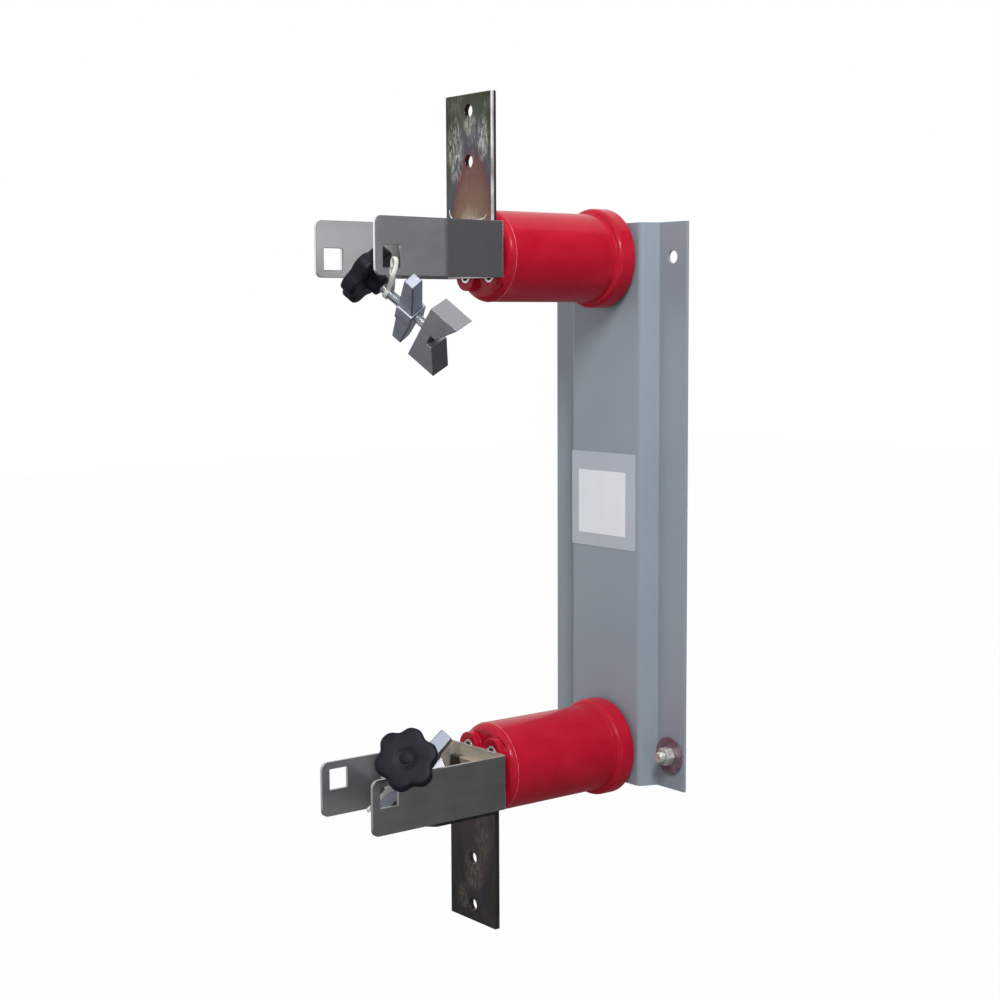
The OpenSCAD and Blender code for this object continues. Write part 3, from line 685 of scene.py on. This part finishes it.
FILM_THICK = 0.3
verts, faces = rounded_card(-44.9, 40.1, -38.5, 46.5, corner=1.6, back=WEB_FRONT,
                            thick=FILM_THICK)
add_piece("label_film", mesh_from("label_film", verts, faces), root, [film],
          ["label_plate"], smooth=10)
verts, faces = rounded_card(-35.5, 27.2, -27.0, 30.0, corner=0.6,
                            back=WEB_FRONT - FILM_THICK, thick=0.1)
add_piece("label_field", mesh_from("label_field", verts, faces), root, [panel],
          smooth=10)
print("label laid")

# %% [markdown]
# ## Fasteners
# Bolt heads, washers, nuts and the bushes in the standoffs are bevelled copies of their
# solids: a small bevel is what makes a bolt head look forged instead of drawn.

# %% Fasteners
for node in ("clip_bolts", "base_bolts"):
    softened(node, [fastener], 0.45, 2)
for node in ("clip_washers", "base_washers", "clip_lock_washers", "base_lock_washers"):
    softened(node, [fastener], 0.25, 2)
for node in ("front_inserts", "rear_inserts"):
    softened(node, [bush], 0.4, 2)
softened("ground_washer", [violet], 0.35, 2)
softened("ground_nut", [stud_metal], 0.5, 2)
print("fasteners dressed")

# %% [markdown]
# ## Screw threads
# A thread is a cylinder whose radius waves along its length, with the wave sliding one
# pitch per turn. A grid of points on that surface is exact at any angle, and it needs no
# boolean. After a plain shank the wave grows over one pitch, as a rolled thread does, and
# the free end has a chamfer.

# %% Make a threaded rod
CHAMFER = 0.9


def threaded(radius, pitch, low, high, plain_to=None, around=40, per_pitch=6):
    """A rod along Z in mm from low to high, smooth below plain_to."""
    start = low if plain_to is None else plain_to
    heights = [low] if start > low else []
    count = int((high - start) / pitch * per_pitch)
    heights += [start + (high - start) * i / count for i in range(count + 1)]
    verts = []
    for z in heights:
        grown = 1.0 if start == low else min(1.0, max(0.0, (z - start) / pitch))
        for i in range(around):
            wave = abs(2 * ((z / pitch - i / around) % 1.0) - 1)
            wave = min(1.0, max(0.0, 1.35 * wave - 0.12))
            r = radius - 0.58 * pitch * (1 - wave) * grown
            r = min(r, radius - CHAMFER + high - z)
            a = 2 * math.pi * i / around
            verts.append(Vector((r * math.cos(a), r * math.sin(a), z)) * MM)
    return verts, tube_faces(len(heights), around)


# %% [markdown]
# ## Clamps
# Each clamp is a lobed knob on a screw that runs through a cast crossbar and pushes a
# cast jaw. Both hang askew, so knob and screw are built upright along Z and then put in
# place by one matrix: the same turn and place that the solids have.

# %% Where the clamps hang
UPPER_AT, UPPER_TURN = (45.4, -268.5, 176.4), (137.5, 29.5, 153)
LOWER_AT, LOWER_TURN = (21.2, -246.4, -202.7), (127.5, 43.5, -103.5)


def turned(angles):
    return Euler([math.radians(a) for a in angles], "XYZ").to_matrix()


def hung(at, angles, along):
    """The matrix of a clamp, moved by along mm on its own axis from the place at."""
    return (Matrix.Translation(Vector(at) * MM) @ turned(angles).to_4x4()
            @ Matrix.Translation((0, 0, along * MM)))


# Each clamp has its matrix and its knob's turn in degrees
CLAMPS = {"upper": (hung(UPPER_AT, UPPER_TURN, -31.6), 15),
          "lower": (hung(LOWER_AT, LOWER_TURN, -40.3), 35)}


def placed(verts, matrix):
    return [matrix @ Vector(v) for v in verts]


# %% [markdown]
# ## The lobed knob
# Six lobes, a rounded rim, a shallow dish with a button at its middle, and a hub at the
# back. It is a stack of rings: those near the middle are round, those at the rim follow
# the lobes, and the rings between them blend from one to the other.

# %% Build the knob
KNOB_RADIUS, LOBE_DEPTH, LOBES, BLEND_RADIUS = 25.4, 3.8, 6, 14.5


def lobe(a):
    """Radius of the knob's outline in mm at an angle."""
    return KNOB_RADIUS - LOBE_DEPTH * ((1 - math.cos(LOBES * a)) / 2) ** 1.6


# Each ring is [height, share of lobe outline, radius or inset]
KNOB = [(-12.80, 0, 0.4), (-12.77, 0, 2.6), (-12.68, 0, 3.5), (-12.5, 0, 4.1),
        (-12.3, 0, 4.45), (-12.2, 0, 4.9), (-12.2, 0, 5.6), (-12.28, 0, 6.3),
        (-12.43, 0, 7.1), (-12.62, 0, 7.9), (-12.80, 0, 8.8), (-12.93, 0, 9.8),
        (-13.0, 0, 11.0), (-12.98, 0.5, 3.4), (-12.92, 1, 2.5), (-12.8, 1, 1.8),
        (-12.55, 1, 1.15), (-12.2, 1, 0.65), (-11.8, 1, 0.3), (-11.2, 1, 0.08),
        (-9.8, 1, 0), (-2.8, 1, 0), (-1.9, 1, 0.1), (-1.1, 1, 0.45), (-0.5, 1, 1.0),
        (-0.12, 1, 1.7), (0, 1, 2.6), (0, 0.5, 6.0), (0, 0, 10.2), (0.3, 0, 9.2),
        (1.0, 0, 8.75), (2.0, 0, 8.5), (8.8, 0, 8.4), (9.6, 0, 8.0), (10.0, 0, 7.2),
        (10.0, 0, 4.0)]


def ring_stack(rings, radius_at, around):
    """Closed skin over a stack of rings; radius_at gives a ring's radius at an angle."""
    verts = []
    for ring in rings:
        for i in range(around):
            a = 2 * math.pi * i / around
            r = radius_at(ring, a)
            verts.append(Vector((r * math.cos(a), r * math.sin(a), ring[0])) * MM)
    return verts, tube_faces(len(rings), around)


def knob_radius(ring, a):
    height, share, size = ring
    return size if share == 0 else share * (lobe(a) - size) + (1 - share) * BLEND_RADIUS


knob_verts, knob_faces = ring_stack(KNOB, knob_radius, around=192)
for label, (matrix, spin) in CLAMPS.items():
    spun = matrix @ Matrix.Rotation(math.radians(spin), 4, "Z")
    add_piece("show_knob_" + label,
              mesh_from("knob_" + label, placed(knob_verts, spun), knob_faces),
              mounted("knob_" + label), [black], ["knob_" + label], 50)
print("knob rings:", len(KNOB))

# %% [markdown]
# ## Clamp screws, crossbars and jaws
# The rolled thread runs from the knob's hub to a shoulder in front of the jaw, and a
# thinner tenon goes through the jaw and is riveted over in its groove. The castings are
# bevelled copies, whose edges have a darker finish. The lower crossbar mirrors the white
# room towards the camera, so its casting is written darker than the upper one.

# %% Clamp screws, crossbars and jaws
SCREW_PITCH = 1.411
# Each ring of the tenon is [height, radius]
TENON = [(56.8, 3.0), (67.9, 3.0), (67.9, 4.1), (68.7, 4.1), (69.1, 3.8), (69.3, 3.1)]
tenon_verts, tenon_faces = ring_stack(TENON, lambda ring, a: ring[1], around=40)
for label, (matrix, spin) in CLAMPS.items():
    verts, faces = threaded(SCREW_RADIUS, SCREW_PITCH, low=9.6, high=57.3)
    faces += [tuple(len(verts) + i for i in face) for face in tenon_faces]
    verts = placed(verts + tenon_verts, matrix)
    add_piece("show_screw_" + label, mesh_from("screw_" + label, verts, faces),
              mounted("screw_" + label), [zinc], ["screw_" + label], 40)
for label, cast in (("upper", casting), ("lower", casting_low)):
    softened("crossbar_" + label, [cast, cast_edge], 0.8, 3, angle=18)
    softened("jaw_" + label, [jaw_metal, cast_edge], 0.4, 3)
print("clamps dressed")

# %% [markdown]
# ## Ground fixing
# A stud is clinched into the lower right hole. The thread stands out past its nut, and a
# wide washer bears on the paint.

# %% Ground fixing
HOLE_X, STUD_RADIUS, STUD_PITCH, STUD_LENGTH = 68.5, 4.75, 1.588, 17.7
stand = Matrix.Translation(Vector((HOLE_X, 0, -STANDOFF_Z)) * MM) @ Matrix.Rotation(
    math.radians(90), 4, "X")
verts, faces = threaded(STUD_RADIUS, STUD_PITCH, low=0.0, high=STUD_LENGTH, plain_to=4.0)
add_piece("show_ground_stud", mesh_from("ground_stud", placed(verts, stand), faces), root,
          [stud_metal], ["ground_stud"], 40)
print("stud faces:", len(faces))

# %% [markdown]
# ## Cable ties
# A tie is a flat strap pulled through its own head. Its route is written as a few places
# with the direction of the strap's width, the same as in the solids. Cutting the route's
# corners three times over gives the smooth bends of nylon and never strays outside it.

# %% Sweep a strap
# The strap's section as [across, through] in mm, with broken corners
STRAP = [(1.8, 0.35), (1.55, 0.6), (-1.55, 0.6), (-1.8, 0.35), (-1.8, -0.35),
         (-1.55, -0.6), (1.55, -0.6), (1.8, -0.35)]
STRAP_HALF = 0.6


def cut_corners(route, closed, rounds=3):
    for _ in range(rounds):
        first, last = ([], []) if closed else ([route[0]], [route[-1]])
        after = route[1:] + (route[:1] if closed else [])
        cut = [tuple(Vector(a).lerp(Vector(b), share) for a, b in zip(one, two))
               for one, two in zip(route, after) for share in (0.25, 0.75)]
        route = first + cut + last
    return route


def strap_mesh(route, closed=True):
    """A strap along places in mm, each with the direction of the strap's width."""
    route = cut_corners(route, closed)
    n, m = len(route), len(STRAP)
    verts = []
    for i, (place, wide) in enumerate(route):
        before = route[(i - 1) % n if closed else max(i - 1, 0)][0]
        after = route[(i + 1) % n if closed else min(i + 1, n - 1)][0]
        along = (Vector(after) - Vector(before)).normalized()
        wide = Vector(wide)
        wide = (wide - along * wide.dot(along)).normalized()
        thin = along.cross(wide)
        verts += [(Vector(place) + wide * u + thin * v) * MM for u, v in STRAP]
    # This section runs the other way round, so each face is turned over
    return verts, [(face[0], *face[:0:-1]) for face in tube_faces(n, m, closed)]


HEAD_SIZE = (3.4, 5.2, 4.6)


def tie_head(corner):
    """The tie's small locking head, a bevelled box from its lowest corner in mm."""
    head = bmesh.new()
    bmesh.ops.create_cube(head, size=1)
    for vert in head.verts:
        vert.co = Vector([(c + (v + 0.5) * side) * MM
                          for c, v, side in zip(corner, vert.co, HEAD_SIZE)])
    bmesh.ops.bevel(head, geom=head.edges[:], offset=0.7 * MM, segments=3, affect="EDGES")
    mesh = bpy.data.meshes.new("tie_head")
    head.to_mesh(mesh)
    head.free()
    return mesh


# %% [markdown]
# ## The two ties
# Each tie goes through its clip's window, over the sheet's edge and round the screw, and
# its tail is left long. The places are measured from the arm's own middle, the window's
# edge and the strip's edge, so that the strap keeps clear of the sheet.

# %% Lay and add the ties
def round_screw(at, angles, h, a0, a1, n):
    """Places round a screw from angle a0 to a1, at the strap's distance from its axis."""
    spin, r = turned(angles), SCREW_RADIUS + 0.5 + STRAP_HALF
    steps = [math.radians(a0 + (a1 - a0) * i / n) for i in range(n + 1)]
    return [(Vector(at) + spin @ Vector((r * math.cos(a), r * math.sin(a), -h)),
             spin @ Vector((0, 0, 1))) for a in steps]


OUT = CLIP_SHEET / 2 + STRAP_HALF + 0.7
ARM_X, STANDOFF_FACE, SPLAY = 37.2, 161.4, 12.5
y = 277.5
x = ARM_X + SPLAY * (y - STANDOFF_FACE) / CLIP_LENGTH
lip, edge = WINDOW_Z - WINDOW / 2, CLIP_Z - CLIP_HEIGHT / 2
across = (0, 1, 0)
upper_route = [((x, -y, lip + 8.4), across), ((x + OUT, -y, lip + 6), across),
               ((x + OUT, -y - 0.5, lip + 0.5), (0, 1, -0.3)),
               ((x + OUT + 0.5, -y - 4, edge - 0.5), (0, 1, -0.5))]
upper_route += round_screw(UPPER_AT, UPPER_TURN, 15, 190, 442, 11)
upper_route += [((x - OUT - 0.5, -y + 1, edge - 1.5), (0.3, 1, 0)),
                ((x - OUT, -y + 0.5, edge + 1), across), ((x - OUT, -y, lip + 0.5), across),
                ((x - OUT, -y, lip + 6), across)]
upper_head = (x - OUT - 3.6, -y - 2.6, edge + 2)
upper_tail = [((x - OUT - 2, -y, edge + 4.3), across), ((x - OUT - 6, -y, edge + 5), across),
              ((x - OUT - 11, -y + 1, edge + 3), across),
              ((x - OUT - 15, -y + 2, edge - 2), across)]
y, x = 275.2, ARM_X
lip, edge = WINDOW / 2 - WINDOW_Z, CLIP_HEIGHT / 2 - CLIP_Z
lower_route = [((x, -y, lip - 1.9), across), ((x + OUT, -y, lip - 0.5), across),
               ((x + OUT, -y + 1, edge + 0.5), across),
               ((x, -y + 3, edge + 2.2), (0.3, 1, -0.7)),
               ((x - 4, -y + 8, edge + 2.8), (-0.1, 0.8, -0.8))]
lower_route += round_screw(LOWER_AT, LOWER_TURN, 12, 78, 288, 10)
lower_route += [((x - OUT - 3.6, -y + 5, lip - 0.5), (0.1, 0, -1)),
                ((x - OUT - 1, -y, lip - 2), across)]
lower_head = (x - OUT - 4.4, -y - 2.6, lip - 6.6)
lower_tail = [((x - OUT - 2.6, -y - 1.5, lip - 4.3), (0, 0, 1)),
              ((x - OUT - 2.2, -y - 8, lip - 8.5), (0, 0.4, 1)),
              ((x - OUT - 1.6, -y - 16, lip - 14.0), (0, 0.5, 1)),
              ((x - OUT - 1.2, -y - 23.6, lip - 18.5), (0, 0.5, 1))]
for label, route, head, tail in (("upper", upper_route, upper_head, upper_tail),
                                 ("lower", lower_route, lower_head, lower_tail)):
    verts, faces = strap_mesh(route)
    add_piece("show_tie_" + label, mesh_from("tie_" + label, verts, faces), root,
              [nylon], ["tie_" + label], 60)
    add_piece("tie_head_" + label, tie_head(head), root, [nylon], smooth=50)
    verts, faces = strap_mesh(tail, closed=False)
    add_piece("tie_tail_" + label, mesh_from("tie_tail_" + label, verts, faces), root,
              [nylon], smooth=60)
print("ties swept")

# %% [markdown]
# ## Room and light
# The photograph has a white ground and soft light from the right and front. The white is
# what the camera and shiny metal see, through Light Path, while the light that falls on
# the object stays at a plain level, so a colour renders about as it is written.

# %% Floor and backdrop
def fresh_tree(holder):
    holder.use_nodes = True
    holder.node_tree.nodes.clear()
    return holder.node_tree


def glowing(tree, kind, colour, strength=None):
    """A shader node of the kind, with its colour and strength set, as its output."""
    node = tree.nodes.new(kind)
    node.inputs[0].default_value = (*colour, 1)
    if strength is not None:
        node.inputs[1].default_value = strength
    return node.outputs[0]


def white_to_eye(tree, lit, seen, share, output):
    """Shows seen to the camera and to shiny surfaces, and lit to everything else."""
    path = tree.nodes.new("ShaderNodeLightPath")
    total = path.outputs["Is Camera Ray"]
    for operation, other in (("ADD", path.outputs["Is Glossy Ray"]),
                             ("ADD", path.outputs["Is Transmission Ray"]),
                             ("MULTIPLY", share)):
        step = tree.nodes.new("ShaderNodeMath")
        step.operation, step.use_clamp = operation, True
        tree.links.new(total, step.inputs[0])
        if operation == "ADD":
            tree.links.new(other, step.inputs[1])
        else:
            step.inputs[1].default_value = other
        total = step.outputs[0]
    blend = tree.nodes.new("ShaderNodeMixShader")
    for source, socket in zip((total, lit, seen), blend.inputs):
        tree.links.new(source, socket)
    tree.links.new(blend.outputs[0], tree.nodes.new(output).inputs[0])


def flat_sheet(name, middle, across, upward, material):
    """A flat rectangle, given its middle and its two half sides in metres."""
    middle, across, upward = Vector(middle), Vector(across), Vector(upward)
    corners = [middle + across * u + upward * v
               for u, v in ((-1, -1), (1, -1), (1, 1), (-1, 1))]
    sheet = bpy.data.objects.new(name, mesh_from(name, corners, [(0, 1, 2, 3)]))
    sheet.data.materials.append(material)
    bpy.context.scene.collection.objects.link(sheet)
    return sheet


FLOOR_Z, FLOOR_REACH, FLOOR_WHITE, ROOM_LIGHT = -0.75, 9, 0.985, 0.42
floor_paint = bpy.data.materials.new("studio_floor")
tree = fresh_tree(floor_paint)
white_to_eye(tree, glowing(tree, "ShaderNodeBsdfDiffuse", (0.55, 0.55, 0.55)),
             glowing(tree, "ShaderNodeEmission", (1, 1, 1), 1.0), FLOOR_WHITE,
             "ShaderNodeOutputMaterial")
flat_sheet("studio_floor", (0, 0, FLOOR_Z), (FLOOR_REACH, 0, 0), (0, FLOOR_REACH, 0),
           floor_paint)
world = bpy.data.worlds.new("studio_world")
bpy.context.scene.world = world
tree = fresh_tree(world)
white_to_eye(tree, glowing(tree, "ShaderNodeBackground", (0.97, 0.985, 1.0), ROOM_LIGHT),
             glowing(tree, "ShaderNodeBackground", (1, 1, 1), 1.0), 1.0,
             "ShaderNodeOutputWorld")
print("room:", world.name, floor_paint.name)

# %% [markdown]
# ## Dark cards
# Metal in an all-white room looks like paper. A photographer stands dark cards beside the
# object, so that its right-hand faces have something dark to mirror. These cards are seen
# only in reflections, so they neither show nor take light away from the object.

# %% Dark cards
card_paint = bpy.data.materials.new("dark_card")
tree = fresh_tree(card_paint)
grey = glowing(tree, "ShaderNodeEmission", (0.12, 0.12, 0.125), 1.0)
tree.links.new(grey, tree.nodes.new("ShaderNodeOutputMaterial").inputs[0])
for name, middle, across, upward in (
        ("card_right", (0.90, 0.62, 0.3), (-0.42, 0.40, 0), (0, 0, 1.5)),
        ("card_camera", (1.75, -1.45, 0.0), (0.62, 0.72, 0), (0, 0, 0.9)),
        ("card_behind", (-2.4, 1.85, -0.42), (1.54, 1.97, 0), (0, 0, 0.34)),
        ("card_below", (-0.45, 0.4, -0.70), (1.75, 0, 0), (0, 1.6, 0))):
    card = flat_sheet(name, middle, across, upward, card_paint)
    card.visible_camera = card.visible_diffuse = card.visible_shadow = False
    card.visible_transmission = card.visible_volume_scatter = False

# %% [markdown]
# ## Lamps
# Three soft boxes give the shape: a key from the right, a weak fill from the left and a
# rim from above. Their mirror images would burn white spots into the gloss, so they are
# left out of reflections. One narrow lamp does the opposite: it lights nothing and only
# shows as the thin streak on the mouldings.

# %% Lamps
AIM = Vector((0, -0.1, 0))


def softbox(name, at, size, watts, mirrored=False):
    lamp = bpy.data.lights.new(name, "AREA")
    lamp.shape, lamp.size, lamp.size_y = "RECTANGLE", size[0], size[1]
    lamp.energy = watts
    holder = bpy.data.objects.new(name, lamp)
    bpy.context.scene.collection.objects.link(holder)
    holder.location = at
    holder.rotation_euler = (AIM - Vector(at)).to_track_quat("-Z", "Y").to_euler()
    holder.visible_glossy, holder.visible_diffuse = mirrored, not mirrored


softbox("key", (1.25, -0.8, 1.4), (0.4, 0.7), 33)
softbox("fill", (-1.3, -1.7, 0.6), (1.0, 1.4), 5)
softbox("rim", (0.4, -0.3, 2.0), (1.2, 1.0), 8)
softbox("glint", (1.35, -1.0, 1.0), (0.09, 0.30), 18, mirrored=True)
print("lamps:", len(bpy.data.lights))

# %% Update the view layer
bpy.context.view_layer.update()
